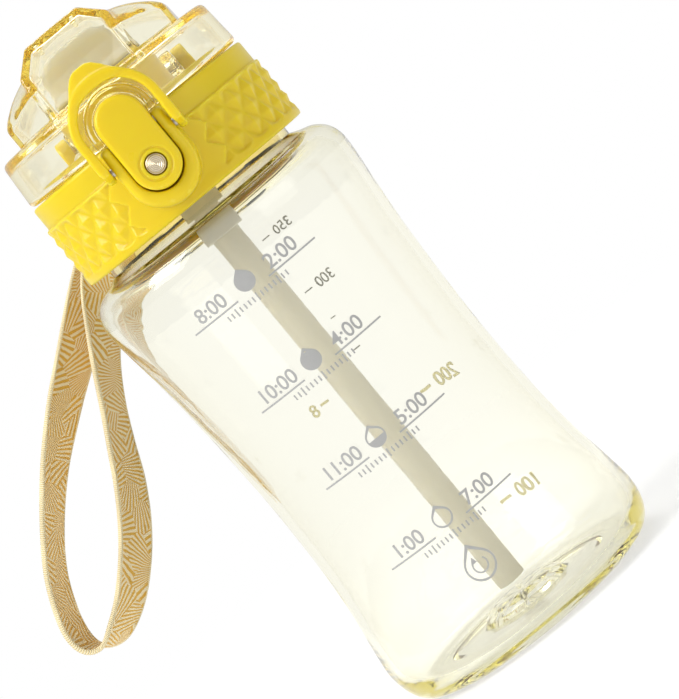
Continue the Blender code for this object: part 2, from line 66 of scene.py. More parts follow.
# bottle
BASE_RING = 27.5
NECK_R = 25.2
NECK_BORE_R = 23.0
RIM_Z = 135.8
BODY_OUTLINE = [
    (BASE_RING, 0.0), (31.6, 1.7), (34.0, 5.2), (34.9, 11.0), (34.0, 18.5), (32.6, 27.5), (31.6, 38.0),
    (31.15, 50.0), (31.15, 62.0), (31.6, 75.0), (32.5, 90.0), (33.7, 101.5), (34.3, 108.0), (34.1, 111.4),
    (32.9, 114.2), (30.4, 116.3), (27.4, 117.3), (NECK_R, 118.2),
]
BODY_INSIDE = [
    (NECK_BORE_R, 117.0), (26.4, 115.4), (29.4, 114.2), (31.2, 112.4), (32.1, 109.0), (31.7, 101.5),
    (30.5, 90.0), (29.6, 75.0), (29.15, 62.0), (29.15, 50.0), (29.6, 38.0), (30.6, 27.5), (32.0, 18.5),
    (32.7, 11.0), (31.6, 6.4), (28.6, 3.6), (24.0, 3.0),
]

GEM_SIDES = 8                              # of the boss in the floor
PAINTED_LID_REFLECTION_Z = 116.6                       # the neck from here up has a painted reflection of the lid's yellow
PRINT_THICK, RAISED_THICK = 0.04, 0.35
FRONT_MARKS_AT, BACK_MARKS_AT = -2.8, 180.0      # degrees from the latch
MARK_ROWS = [                              # two figures, z of the ruled lines, how full the drop is
    ("8:00", "2:00", 97.8, 1.0), ("10:00", "4:00", 75.7, 0.8), ("11:00", "5:00", 54.0, 0.38),
    ("1:00", "7:00", 31.6, 0.0),
]

# screw thread
THREAD_PITCH = 4.0
NECK_THREAD = (25.2, 26.9, 126.0, 1.5)     # root radius, crest radius, lowest z, turns
LID_THREAD = (28.0, 25.7, 128.4, 1.25)

# lid
BAND = (30.4, 120.0, 135.5)                # radius, bottom z, top z
UPPER = (29.5, 141.0)
LID_BORE_R = 28.0
DECK = (25.5, 139.0, 143.3)
TOWER = (13.4, 153.6, 8.3)                 # radius, top z, bore
VENT = (-13.3, 11.5)
HINGE = (30.9, 146.5)                      # y, z
KNURL_STEP = 6.0                           # half a diamond's width, degrees round the band
KNURL_RISE = 3.3                           # half a diamond's height
KNURL_START = 27.0                         # first column of diamonds, degrees from the latch
KNURL_Z = 128.5

# clear cover
COVER_R = 29.3
COVER_BOTTOM_Z = 141.4
SHELF_Z = 152.8
COVER_WALL = 2.0
BLOCK_HALF = 22.2
BAY_HALF = 12.2
TOP_HALF = 7.2
TOP_Z = 168.8
ARCH_Z = 143.4

# latch
HOUSING = (8.3, 121.9, 141.0, -36.6)       # half width, bottom z, top z, front y
BUTTON = (5.55, 126.2, 148.9, -38.4, -32.0)      # half width, bottom z, top z, front y, back y
BUTTON_GAP = 0.3
PRESS_ROOM = 0.55                          # below the button's foot, for when it is pressed
POCKET_BACK_Y = -30.4
STUD_Z = 131.7
SPRING_Z = 130.6
BUTTON_SPRING = (1.8, 0.25, -35.0, -30.9, 4.0)   # radius, wire radius, front y, back y, turns
LATCH_PIN = (-34.0, 139.2)
BAIL_PIN = (-33.0, 136.0)
BAIL = (8.8, 10.8, 143.9, -38.0, -35.6)    # inner and outer radius, centre z, front y, back y

# wrist strap
STRAP_X = -21.0
STRAP_Z = 128.0
WEBBING = (10.0, 1.4)                      # width, thickness
# centre line of the loop: x, y, z and the webbing's turn in degrees, as in the CAD source
STRAP_ROUTE = [
    (-21.0, 36.8, 128.0, 0), (-26.0, 37.0, 125.1, 0), (-31.8, 38.2, 121.2, 10), (-38.5, 39.4, 116.3, 20),
    (-47.3, 40.4, 109.3, 28), (-57.3, 41.0, 101.6, 40), (-68.2, 41.4, 92.0, 56), (-77.6, 41.4, 81.6, 64),
    (-84.0, 41.4, 72.6, 66), (-87.9, 41.4, 64.0, 66), (-89.2, 41.4, 58.4, 68), (-88.5, 41.4, 54.6, 78),
    (-85.8, 41.4, 52.4, 100), (-81.2, 41.4, 52.9, 122), (-74.5, 41.4, 56.9, 132), (-67.5, 41.4, 63.4, 136),
    (-61.6, 41.4, 70.6, 136), (-56.6, 41.4, 78.4, 132), (-52.4, 41.4, 86.6, 124), (-48.0, 41.2, 94.8, 120),
    (-42.9, 39.9, 103.2, 126), (-37.2, 37.9, 111.0, 142), (-31.6, 35.9, 118.2, 164), (-26.8, 35.3, 122.9, 177),
    (-24.0, 35.2, 125.6, 180), (-21.0, 35.2, 128.6, 180),
]

# studio, in metres
FLOOR_REACH = 6.0
LIGHTS_AIM_Z = 0.09
CAMERA_AIM = (0.0031, 0.0740)              # to the right of the axis, and up


# ---------------------------------------------------------------- curves and outlines

def spline(points, per_span):
    """Catmull-Rom points through a list of equal-length tuples."""
    out = []
    padded = [points[0], *points, points[-1]]
    for i in range(1, len(padded) - 2):
        a, b, c, d = padded[i - 1:i + 3]
        for k in range(per_span):
            t = k / per_span
            out.append(tuple(
                0.5 * (2 * q + (r - p) * t + (2 * p - 5 * q + 4 * r - s) * t * t
                       + (3 * q - p - 3 * r + s) * t ** 3)
                for p, q, r, s in zip(a, b, c, d)
            ))
    out.append(tuple(points[-1]))
    return out


def rounded(outline, radius, steps=4):
    """A closed outline with each corner turned into a small curve."""
    out = []
    count = len(outline)
    for i in range(count):
        near, here, far = (np.array(outline[j % count], float) for j in (i - 1, i, i + 1))
        back, ahead = near - here, far - here
        a = here + back * min(radius / max(np.linalg.norm(back), 1e-6), 0.45)
        b = here + ahead * min(radius / max(np.linalg.norm(ahead), 1e-6), 0.45)
        for k in range(steps + 1):
            t = k / steps
            out.append(tuple((1 - t) ** 2 * a + 2 * t * (1 - t) * here + t * t * b))
    return out


# ---------------------------------------------------------------- meshes

def add(name, data):
    """A new object in the scene."""
    obj = bpy.data.objects.new(name, data)
    bpy.context.scene.collection.objects.link(obj)
    return obj


def piece(name, verts, faces, mat):
    """A smooth mesh object from points in millimetres."""
    mesh = bpy.data.meshes.new(name)
    mesh.from_pydata((np.asarray(verts, float) * MM).tolist(), [], np.asarray(faces).tolist())
    mesh.validate()
    mesh.shade_smooth()
    mesh.materials.append(mat)
    return add(name, mesh)


def tidy_mesh(obj):
    """Merges the points that fall together and turns every face out."""
    bm = bmesh.new()
    bm.from_mesh(obj.data)
    bmesh.ops.remove_doubles(bm, verts=bm.verts, dist=1e-7)
    bmesh.ops.dissolve_degenerate(bm, dist=1e-8, edges=bm.edges)
    bmesh.ops.recalc_face_normals(bm, faces=bm.faces)
    bm.to_mesh(obj.data)
    bm.free()
    return obj


def turned(name, outline, mat, steps=160, shape=None, axis="z", centre=(0.0, 0.0), sharp=35):
    """Spins a closed (radius, height) outline; shape may change the radii at each angle."""
    steps = int(steps / FINE)
    r = np.array([p[0] for p in outline], float)[None, :]
    h = np.array([p[1] for p in outline], float)[None, :]
    angle = (np.arange(steps) * math.tau / steps)[:, None]
    radius = r + np.zeros_like(angle) if shape is None else shape(angle, r, h)
    a, b = radius * np.cos(angle), radius * np.sin(angle)
    c = h + np.zeros_like(angle)
    u, v = centre
    places = {"z": (a + u, b + v, c), "y": (a + u, c, b + v), "x": (c, a + u, b + v)}[axis]
    verts = np.stack(places, -1).reshape(-1, 3)
    count = len(outline)
    i, j = np.meshgrid(np.arange(steps), np.arange(count), indexing="ij")
    i2, j2 = (i + 1) % steps, (j + 1) % count
    faces = np.stack([i * count + j, i2 * count + j, i2 * count + j2, i * count + j2], -1).reshape(-1, 4)
    obj = tidy_mesh(piece(name, verts, faces, mat))
    obj.data.set_sharp_from_angle(angle=math.radians(sharp))
    return obj


def surface_net(values):
    """Points (in grid steps) and four-sided faces of the zero level of a grid of values."""
    inside = values < 0
    size = values.shape
    count = np.zeros([n - 1 for n in size], np.int8)
    for i, j, k in np.ndindex(2, 2, 2):
        count += inside[i:size[0] - 1 + i, j:size[1] - 1 + j, k:size[2] - 1 + k]
    active = (count > 0) & (count < 8)
    cells = np.argwhere(active)
    index = np.full(active.shape, -1, np.int64)
    index[active] = np.arange(len(cells))
    total = np.zeros((len(cells), 3))
    weight = np.zeros(len(cells))
    for axis in range(3):
        first, second = [n for n in range(3) if n != axis]
        for u, v in np.ndindex(2, 2):
            start = cells.copy()
            start[:, first] += u
            start[:, second] += v
            end = start.copy()
            end[:, axis] += 1
            a, b = values[tuple(start.T)], values[tuple(end.T)]
            crossed = (a < 0) != (b < 0)
            point = start[crossed].astype(float)
            point[:, axis] += a[crossed] / (a[crossed] - b[crossed])
            total[crossed] += point
            weight[crossed] += 1
    faces = []
    for axis in range(3):
        first, second = (axis + 1) % 3, (axis + 2) % 3
        low = [slice(None)] * 3
        high = [slice(None)] * 3
        low[axis], high[axis] = slice(0, -1), slice(1, None)
        starts_inside = inside[tuple(low)]
        edges = np.argwhere(starts_inside != inside[tuple(high)])
        side, up = np.zeros(3, int), np.zeros(3, int)
        side[first], up[second] = 1, 1
        around = [index[tuple((edges - shift).T)] for shift in (0 * side, side, side + up, up)]
        quads = np.stack(around, 1)
        outward = starts_inside[tuple(edges.T)]
        quads[~outward] = quads[~outward][:, ::-1]
        faces.append(quads)
    return total / weight[:, None], np.concatenate(faces)


def moulded(name, field, low, high, cell, mat, passes=3):
    """The surface where field(x, y, z) is zero, as an even mesh: field is negative inside the plastic."""
    cell = cell * FINE
    axes = [np.arange(a - 1.7 * cell, b + 2.7 * cell, cell) for a, b in zip(low, high)]
    x, y, z = np.meshgrid(*axes, indexing="ij", sparse=True)
    verts, faces = surface_net(field(x, y, z) + 0 * (x + y + z))
    verts = verts * cell + np.array([a[0] for a in axes])
    reach = 0.25 * cell
    for _ in range(passes):
        value = field(*verts.T)
        slope = np.stack([
            (field(*(verts + step).T) - field(*(verts - step).T)) / (2 * reach) for step in np.eye(3) * reach
        ], 1)
        steep = np.maximum((slope ** 2).sum(1), 0.2)
        move = -slope * (value / steep)[:, None]
        length = np.linalg.norm(move, axis=1, keepdims=True)
        verts = verts + move * np.minimum(1, 0.4 * cell / np.maximum(length, 1e-9))
    return piece(name, verts, faces, mat)


# ---------------------------------------------------------------- shapes as fields, in millimetres

def union(a, b, edge=0.3):
    """The nearer of two shapes, with a fillet about as big as edge where they meet."""
    share = np.clip(0.5 + 0.5 * (b - a) / edge, 0, 1)
    return b + (a - b) * share - edge * share * (1 - share)


def meet(a, b, edge=0.3):
    return -union(-a, -b, edge)


def cut(a, b, edge=0.3):
    return meet(a, -b, edge)


def slab(v, low, high):
    return np.abs(v - (low + high) / 2) - (high - low) / 2


def block(x, y, z, low, high, edge):
    flat = meet(slab(x, low[0], high[0]), slab(y, low[1], high[1]), edge)
    return meet(flat, slab(z, low[2], high[2]), edge)


def rod(u, v, centre, radius):
    return np.hypot(u - centre[0], v - centre[1]) - radius


def trough(x, z, half, low):
    """A U in (x, z): straight sides over a half-round bottom."""
    drop = np.minimum(z - (low + half), 0)
    return np.hypot(x, drop) - half


def stadium(x, z, half, low, high):
    drop = slab(z, low + half, high - half)
    return np.hypot(x, np.maximum(drop, 0)) - half


def convex(u, v, outline, edge=0.4):
    """Inside of a convex outline given anticlockwise in (u, v)."""
    out = None
    for (a, b), (c, d) in zip(outline, outline[1:] + outline[:1]):
        length = math.hypot(c - a, d - b)
        side = ((d - b) * (u - a) - (c - a) * (v - b)) / length
        out = side if out is None else meet(out, side, edge)
    return out


def hull_planes(points):
    """Outward planes (normal, offset) of the convex hull of points and their mirror images in x."""
    bm = bmesh.new()
    for x, y, z in points:
        bm.verts.new((x, y, z))
        if x:
            bm.verts.new((-x, y, z))
    bmesh.ops.convex_hull(bm, input=bm.verts)
    bm.normal_update()
    middle = sum((v.co for v in bm.verts), Vector()) / len(bm.verts)
    planes = {}
    for face in bm.faces:
        normal, at = face.normal, face.calc_center_median()
        if normal.length < 0.5:
            continue
        if normal.dot(at - middle) < 0:
            normal = -normal
        key = tuple(round(c, 2) for c in (*normal, normal.dot(at)))
        planes[key] = (*normal, normal.dot(at))
    bm.free()
    return [planes[key] for key in sorted(planes)]


def solid_of(planes, x, y, z, edge):
    """Inside of all these planes."""
    out = None
    for a, b, c, d in planes:
        side = a * x + b * y + c * z - d
        out = side if out is None else meet(out, side, edge)
    return out


def thread_rise(angle, z, thread):
    """Height, from 0 to 1, of a helical ridge's section at an angle and height."""
    low, turns = thread[2], thread[3]
    rise = np.zeros(np.broadcast(angle, z).shape)
    for turn in range(2):
        along = angle / math.tau + turn
        centre = low + THREAD_PITCH * along
        fade = np.clip(np.minimum(along, turns - along) * 8, 0, 1)
        near = np.clip((0.75 - np.abs(z - centre)) / 0.4, 0, 1)
        rise = np.maximum(rise, near * near * (3 - 2 * near) * fade)
    return rise


# ---------------------------------------------------------------- shader helpers

def node(tree, kind, inputs=None, **settings):
    """Adds a shader node; inputs are sockets to link or plain values, by name or place."""
    made = tree.nodes.new("ShaderNode" + kind)
    for key, value in settings.items():
        setattr(made, key, value)
    for key, value in (inputs or {}).items():
        if isinstance(value, bpy.types.NodeSocket):
            tree.links.new(value, made.inputs[key])
        else:
            made.inputs[key].default_value = value
    return made


def maths(tree, operation, a, b=0.0, c=0.0):
    return node(tree, "Math", {0: a, 1: b, 2: c}, operation=operation).outputs[0]


def mixed(tree, share, a, b):
    """A colour between a and b."""
    made = node(tree, "Mix", {0: share}, data_type="RGBA")
    for place, value in ((6, a), (7, b)):
        if isinstance(value, bpy.types.NodeSocket):
            tree.links.new(value, made.inputs[place])
        else:
            made.inputs[place].default_value = (*value, 1.0)
    return made.outputs[2]


def ranged(tree, value, low, high, to_low=0.0, to_high=1.0):
    """A value between low and high spread over to_low to to_high, and held level outside."""
    return node(tree, "MapRange", {
        "Value": value, "From Min": low, "From Max": high, "To Min": to_low, "To Max": to_high,
    }).outputs[0]


def noise(tree, scale, detail=3.0, coordinates=None):
    if coordinates is None:
        coordinates = node(tree, "TexCoord").outputs["Object"]
    return node(tree, "TexNoise", {"Vector": coordinates, "Scale": scale, "Detail": detail}).outputs[0]


def principled(name, **values):
    """A material whose Principled shader has these socket values, with _ for a space in their names."""
    mat = bpy.data.materials.new(name)
    mat.use_nodes = True
    shader = mat.node_tree.nodes["Principled BSDF"]
    for key, value in values.items():
        shader.inputs[key.replace("_", " ")].default_value = value
    return mat, mat.node_tree, shader


def bump(tree, shader, height, distance, strength=1.0):
    made = node(tree, "Bump", {"Strength": strength, "Distance": distance, "Height": height})
    tree.links.new(made.outputs[0], shader.inputs["Normal"])


def paint(tree, shader, colour):
    tree.links.new(colour, shader.inputs["Base Color"])


# ---------------------------------------------------------------- materials

def clear_plastic(name, painted_edge_colour, absorb, density, haze, painted_reflection_above=None):
    """Clear tinted plastic: pale where it is looked through, with painted shade and reflection deepening its
    colour where it is seen edge on.

    Above the height in its last argument, in millimetres, it takes on a painted reflection of the lid's yellow."""
    mat, tree, shader = principled(
        name, Transmission_Weight=1.0, IOR=1.5, Roughness=0.0, Specular_IOR_Level=0.5
    )
    # painted shade and reflection: the colour turns towards the edge colour where the surface is seen edge on
    grazing = node(tree, "LayerWeight", {"Blend": 0.22}).outputs["Facing"]
    deep = maths(tree, "POWER", grazing, 2.2)
    face = (1.0, 1.0, 0.99)
    # painted reflection: the neck under the lid is tinted yellow by height, as if it mirrored the lid
    if painted_reflection_above:
        height = node(tree, "SeparateXYZ", {0: node(tree, "TexCoord").outputs["Object"]}).outputs[2]
        share = ranged(tree, height, (painted_reflection_above - 1.0) * MM, (painted_reflection_above + 1.2) * MM)
        face = mixed(tree, share, face, (0.97, 0.86, 0.50))
    paint(tree, shader, mixed(tree, deep, face, painted_edge_colour))
    tree.links.new(ranged(tree, noise(tree, 90.0), 0.45, 0.75, 0.0, haze), shader.inputs["Roughness"])
    bump(tree, shader, noise(tree, 120.0, 2.0), 0.00004)
    volume = node(tree, "VolumeAbsorption", {"Color": (*absorb, 1.0), "Density": density})
    tree.links.new(volume.outputs[0], tree.nodes["Material Output"].inputs["Volume"])
    return mat


def yellow_plastic():
    mat, tree, shader = principled(
        "yellow_plastic", Roughness=0.3, IOR=1.5, Specular_IOR_Level=0.34, Subsurface_Scale=0.004,
        Subsurface_Weight=0.75, Subsurface_Radius=(0.75, 0.65, 0.10)
    )
    mottle = noise(tree, 45.0, 4.0)
    colour = mixed(tree, mottle, (0.79, 0.61, 0.016), (0.74, 0.55, 0.010))
    worn = ranged(tree, node(tree, "NewGeometry").outputs["Pointiness"], 0.53, 0.62, 0.0, 0.35)
    paint(tree, shader, mixed(tree, worn, colour, (0.84, 0.73, 0.12)))
    tree.links.new(ranged(tree, noise(tree, 160.0), 0.0, 1.0, 0.24, 0.36), shader.inputs["Roughness"])
    bump(tree, shader, noise(tree, 2600.0, 2.0), 0.00002)
    return mat


def silicone():
    mat, tree, shader = principled(
        "white_silicone", Roughness=0.46, IOR=1.41, Subsurface_Scale=0.004,
        Subsurface_Weight=0.5, Subsurface_Radius=(1.0, 0.9, 0.75)
    )
    paint(tree, shader, mixed(tree, noise(tree, 70.0), (0.92, 0.87, 0.76), (0.88, 0.82, 0.69)))
    bump(tree, shader, noise(tree, 1800.0, 2.0), 0.00003)
    return mat


def frosted_straw():
    mat, tree, shader = principled(
        "frosted_straw", Roughness=0.42, IOR=1.45, Transmission_Weight=0.12, Subsurface_Scale=0.003,
        Subsurface_Weight=0.2, Subsurface_Radius=(0.6, 0.55, 0.45)
    )
    paint(tree, shader, mixed(tree, noise(tree, 60.0), (0.93, 0.88, 0.74), (0.90, 0.84, 0.67)))
    where = node(tree, "TexCoord").outputs["Object"]
    streaks = node(tree, "Mapping", {"Vector": where, "Scale": (1.0, 1.0, 0.03)})
    bump(tree, shader, noise(tree, 1500.0, 2.0, streaks.outputs[0]), 0.00003)
    return mat


def steel():
    """Plain metal, faintly mottled and grained."""
    mat, tree, shader = principled("steel", Metallic=1.0, Roughness=0.28)
    colour = (0.60, 0.58, 0.55)
    paint(tree, shader, mixed(tree, noise(tree, 900.0), colour, tuple(c * 0.72 for c in colour)))
    bump(tree, shader, noise(tree, 5000.0, 2.0), 0.00002)
    return mat


def stud_metal():
    """Brass-coloured metal, turned in fine rings round the stud's own axis."""
    mat, tree, shader = principled("stud_metal", Metallic=1.0, Roughness=0.34)
    split = node(tree, "SeparateXYZ", {0: node(tree, "TexCoord").outputs["Object"]})
    side = maths(tree, "POWER", split.outputs[0], 2.0)
    up = maths(tree, "POWER", maths(tree, "SUBTRACT", split.outputs[2], STUD_Z * MM), 2.0)
    radius = maths(tree, "SQRT", maths(tree, "ADD", side, up))
    rings = maths(tree, "SINE", maths(tree, "MULTIPLY", radius, math.tau / (0.42 * MM)))
    share = maths(tree, "MULTIPLY_ADD", rings, 0.5, 0.5)
    paint(tree, shader, mixed(tree, share, (0.58, 0.48, 0.33), (0.78, 0.68, 0.50)))
    bump(tree, shader, rings, 0.00006)
    return mat


def webbing():
    """Printed ribbon: fans of fine lines over a twill weave, with a pale selvedge along both edges."""
    mat, tree, shader = principled(
        "webbing", Roughness=0.82, Sheen_Weight=0.25, Sheen_Roughness=0.4, Specular_IOR_Level=0.25
    )
    place = node(tree, "TexCoord").outputs["UV"]
    split = node(tree, "SeparateXYZ", {0: place})
    across, along = split.outputs[0], split.outputs[1]
    patches = node(tree, "TexVoronoi", {"Vector": place, "Scale": 0.17}, voronoi_dimensions="2D")
    shift = node(tree, "VectorMath", {0: patches.outputs["Color"], 1: (0.5, 0.5, 0.5)}, operation="SUBTRACT")
    throw = node(tree, "VectorMath", {0: shift.outputs[0], "Scale": 26.0}, operation="SCALE")
    centre = node(tree, "VectorMath", {0: patches.outputs["Position"], 1: throw.outputs[0]}, operation="ADD")
    ray = node(tree, "VectorMath", {0: place, 1: centre.outputs[0]}, operation="SUBTRACT")
    offset = node(tree, "SeparateXYZ", {0: ray.outputs[0]})
    turn = maths(tree, "ARCTAN2", offset.outputs[1], offset.outputs[0])
    wobble = maths(tree, "MULTIPLY", noise(tree, 0.6, 2.0, place), 2.4)
    lines = maths(tree, "SINE", maths(tree, "MULTIPLY_ADD", turn, 72.0, wobble))
    inked = ranged(tree, lines, -0.35, 0.35)
    shade = noise(tree, 0.22, 2.0, place)
    ochre = mixed(tree, shade, (0.78, 0.46, 0.07), (0.68, 0.37, 0.05))
    cream = mixed(tree, shade, (0.93, 0.82, 0.56), (0.88, 0.73, 0.42))
    face = mixed(tree, inked, ochre, cream)
    rim = maths(tree, "ABSOLUTE", maths(tree, "SUBTRACT", across, WEBBING[0] / 2))
    selvedge = ranged(tree, rim, 4.25, 4.45)
    slant = maths(tree, "MULTIPLY", across, 9.0)
    threads = maths(tree, "SINE", maths(tree, "MULTIPLY_ADD", along, 13.0, slant))
    share = maths(tree, "MULTIPLY_ADD", threads, 0.5, 0.5)
    edge = mixed(tree, share, (0.94, 0.86, 0.62), (0.82, 0.64, 0.30))
    paint(tree, shader, mixed(tree, selvedge, face, edge))
    warp = maths(tree, "SINE", maths(tree, "MULTIPLY", across, math.tau / 0.55))
    lean = maths(tree, "MULTIPLY", across, 5.7)
    weft = maths(tree, "SINE", maths(tree, "MULTIPLY_ADD", along, math.tau / 0.5, lean))
    weave = maths(tree, "MULTIPLY_ADD", warp, weft, maths(tree, "MULTIPLY", threads, selvedge))
    bump(tree, shader, weave, 0.00009, 0.8)
    return mat


def ink(name, colour, clear=0.0):
    mat, tree, shader = principled(name, Roughness=0.45, Transmission_Weight=clear)
    paint(tree, shader, mixed(tree, noise(tree, 700.0), colour, tuple(c * 0.88 for c in colour)))
    return mat


# ---------------------------------------------------------------- bottle

def body_radius(z):
    line = spline(BODY_OUTLINE, 6)
    return np.interp(z, [p[1] for p in line], [p[0] for p in line])


def bottle_body(mat):
    outer = spline(BODY_OUTLINE, 8)
    neck = [(NECK_R, z) for z in np.arange(118.6, 135.0, 0.25)]
    rim = [(25.05, 135.4), (24.7, 135.7), (24.1, RIM_Z), (23.6, 135.7), (23.2, 135.4), (NECK_BORE_R, 134.9)]
    inner = spline(BODY_INSIDE, 6)
    # the boss in the floor is cut like a gem: eight sides, with the middle ring turned by half a side
    gem = [(12.2, 3.0), (11.6, 4.8), (8.0, 6.3), (4.0, 6.3), (0.0, 6.3)]
    under = [(0.0, 3.9), (7.2, 3.9), (8.2, 3.3), (11.0, 1.0), (20.5, 1.0), (22.0, 0.0), (24.0, 0.0)]
    outline = outer + neck + rim + inner + gem + under
    start = len(outer + neck + rim + inner)
    turns = [0.0, 0.5, 0.0, 0.0, 0.0, 0.0, 0.5, 0.0, 0.5]

    def shape(angle, r, z):
        ridge = thread_rise(angle, z, NECK_THREAD) * (NECK_THREAD[1] - NECK_R)
        out = r + np.where((r > NECK_R - 0.1) & (z > 118.5), ridge, 0.0)
        side = math.tau / GEM_SIDES
        for i, turn in enumerate(turns):
            within = (angle[:, 0] + turn * side) % side - side / 2
            out[:, start + i] = r[0, start + i] * math.cos(side / 2) / np.cos(within)
        return out

    return turned("bottle_shell", outline, mat, 192, shape, sharp=28)


def drop_half(y, round_r, tall):
    """Half width of a water drop at height y."""
    reach = tall - round_r
    tangent = round_r * round_r / reach + round_r
    if y <= tangent:
        return math.sqrt(max(round_r ** 2 - (y - round_r) ** 2, 0.0))
    at_tangent = math.sqrt(round_r ** 2 - (tangent - round_r) ** 2)
    return at_tangent * (tall - y) / (tall - tangent)


def strips(rows):
    """Four-sided faces through rows of (left x, right x, y), split across so that they bend with the wall."""
    faces = []
    for (a, b, y), (c, d, z) in zip(rows, rows[1:]):
        parts = max(1, math.ceil(max(b - a, d - c) / 0.8))
        for i in range(parts):
            s, t = i / parts, (i + 1) / parts
            faces.append([
                (a + (b - a) * s, y), (a + (b - a) * t, y), (c + (d - c) * t, z), (c + (d - c) * s, z)
            ])
    return faces


def bar(left, right, low, high):
    return strips([(left, right, low), (left, right, high)])


def water_drop(x, low, fill, round_r=2.35, tall=5.5, line=0.36):
    """A drop's outline, filled up to a share of its height."""
    faces = []
    if fill:
        levels = [tall * fill * i / 14 for i in range(15)]
        faces += strips([(-drop_half(y, round_r, tall), drop_half(y, round_r, tall), y) for y in levels])
    loop = [tall * (1 - math.cos(math.pi * i / 18)) / 2 for i in range(19)]
    outer = [(drop_half(y, round_r, tall), y) for y in loop]
    inner = [(max(a - line, 0.0), line + (tall - 2.6 * line) * y / tall) for a, y in outer]
    for k in range(18):
        for side in (-1, 1):
            faces.append([(side * p[0], p[1]) for p in (outer[k], outer[k + 1], inner[k + 1], inner[k])])
    return [[(x + a, low + b) for a, b in face] for face in faces]


def ring_arc(x, y, r, line, start, end):
    angles = [math.radians(start + (end - start) * i / 24) for i in range(25)]
    faces = []
    for a, b in zip(angles, angles[1:]):
        corners = ((r, a), (r + line, a), (r + line, b), (r, b))
        faces.append([(x + q * math.cos(t), y + q * math.sin(t)) for q, t in corners])
    return faces


def numerals(text, x, y, height):
    """Faces of a line of figures whose middle is at x and whose foot is at y."""
    curve = bpy.data.curves.new("figures", "FONT")
    curve.body = text
    curve.size = height / 0.69
    curve.align_x = "CENTER"
    curve.resolution_u = 5
    curve.offset = 0.016 * height
    obj = add("figures", curve)
    bpy.context.view_layer.update()
    mesh = bpy.data.meshes.new_from_object(obj.evaluated_get(bpy.context.evaluated_depsgraph_get()))
    corners = [(x + v.co.x, y + v.co.y) for v in mesh.vertices]
    faces = [[corners[i] for i in face.vertices] for face in mesh.polygons]
    bpy.data.objects.remove(obj)
    bpy.data.curves.remove(curve)
    bpy.data.meshes.remove(mesh)
    return faces


def printed(name, faces, middle, thick, mat):
    """Flat faces laid on the bottle's wall round the angle middle (degrees from the latch) and made thick."""
    bm = bmesh.new()
    for face in faces:
        corners = []
        for u, z in face:
            r = float(body_radius(z)) + 0.01
            angle = math.radians(middle) + u / r
            corners.append(bm.verts.new((r * math.sin(angle) * MM, -r * math.cos(angle) * MM, z * MM)))
        bm.faces.new(corners)
    bmesh.ops.remove_doubles(bm, verts=bm.verts, dist=2e-6)
    bmesh.ops.dissolve_degenerate(bm, dist=1e-6, edges=bm.edges)
    bm.normal_update()
    for face in bm.faces:
        at = face.calc_center_median()
        if face.normal.dot(Vector((at.x, at.y, 0))) < 0:
            face.normal_flip()
    made = bmesh.ops.extrude_face_region(bm, geom=bm.faces[:])
    for vert in [v for v in made["geom"] if isinstance(v, bmesh.types.BMVert)]:
        vert.co += Vector((vert.co.x, vert.co.y, 0)).normalized() * thick * MM
    bmesh.ops.recalc_face_normals(bm, faces=bm.faces)
    mesh = bpy.data.meshes.new(name)
    bm.to_mesh(mesh)
    bm.free()
    mesh.materials.append(mat)
    return add(name, mesh)


def front_marks(mat):
    """The day's schedule as plain figures: four rows with a drop between two ruled lines."""
    faces = []
    for left, right, z, fill in MARK_ROWS:
        faces += bar(-16.8, -3.9, z, z + 0.4) + bar(4.6, 17.9, z, z + 0.4)
        faces += numerals(left, -9.8, z + 1.1, 3.3) + numerals(right, 9.8, z + 1.1, 3.3)
        faces += water_drop(0.0, z + 0.4, fill)
        for i in range(15):
            tall = 2.0 if i % 5 == 2 else 1.3
            x = -8.0 + i * 1.15
            faces += bar(x - 0.18, x + 0.18, z - 1.6 - tall / 2, z - 1.6 + tall / 2)
    faces += water_drop(0.0, 17.8, 0.0, 3.6, 9.0, 0.42)
    faces += ring_arc(0.0, 21.4, 1.5, 0.36, 120, 400)
    faces += [[(-1.7, 22.3), (-0.2, 22.4), (-0.7, 23.9)]]
    return printed("front_marks", faces, FRONT_MARKS_AT, PRINT_THICK, mat)


def back_marks(ink_mat, raised_mat):
    """A filling scale up the back: two printed figures with ticks, and three raised ones lower down."""
    faces = []
    for value, z in (("350", 103.5), ("300", 87.0)):
        faces += numerals(value, -10.5, z - 1.2, 2.5) + bar(-6.4, -4.2, z - 0.18, z + 0.18)
    faces += bar(-6.4, -4.6, 69.6, 69.9) + bar(-6.4, -5.0, 95.2, 95.5) + bar(-6.4, -5.0, 78.4, 78.7)
    scale = printed("back_scale", faces, BACK_MARKS_AT, PRINT_THICK, ink_mat)
    raised = numerals("8", 12.5, 63.2, 3.0) + bar(8.0, 10.4, 64.4, 65.0)
    for value, x, z in (("200", -19.5, 52.5), ("100", -17.0, 20.5)):
        raised += numerals(value, x, z - 1.7, 3.5) + bar(x + 5.6, x + 8.8, z - 0.35, z + 0.35)
    return scale, printed("back_raised_scale", raised, BACK_MARKS_AT, RAISED_THICK, raised_mat)


# ---------------------------------------------------------------- lid

def knurl(x, y, z):
    """How far the band lies below its full radius: staggered pyramids, smooth round the latch."""
    azimuth = np.abs(np.degrees(np.arctan2(x, -y)))
    s, t = (azimuth - KNURL_START) / KNURL_STEP, (z - KNURL_Z) / KNURL_RISE
    p, q = (s + t) / 2, (s - t) / 2
    near_p, near_q = np.round(p), np.round(q)
    edge = 2 * np.maximum(np.abs(p - near_p), np.abs(q - near_q))
    cut_here = (near_p + near_q) > -0.5
    within = np.clip(np.minimum(z - 121.8, 135.1 - z) / 0.5, 0, 1)
    return np.where(cut_here, 0.2 + (1.0 * edge - 0.2) * within, 0.2 + 0.1 * within)


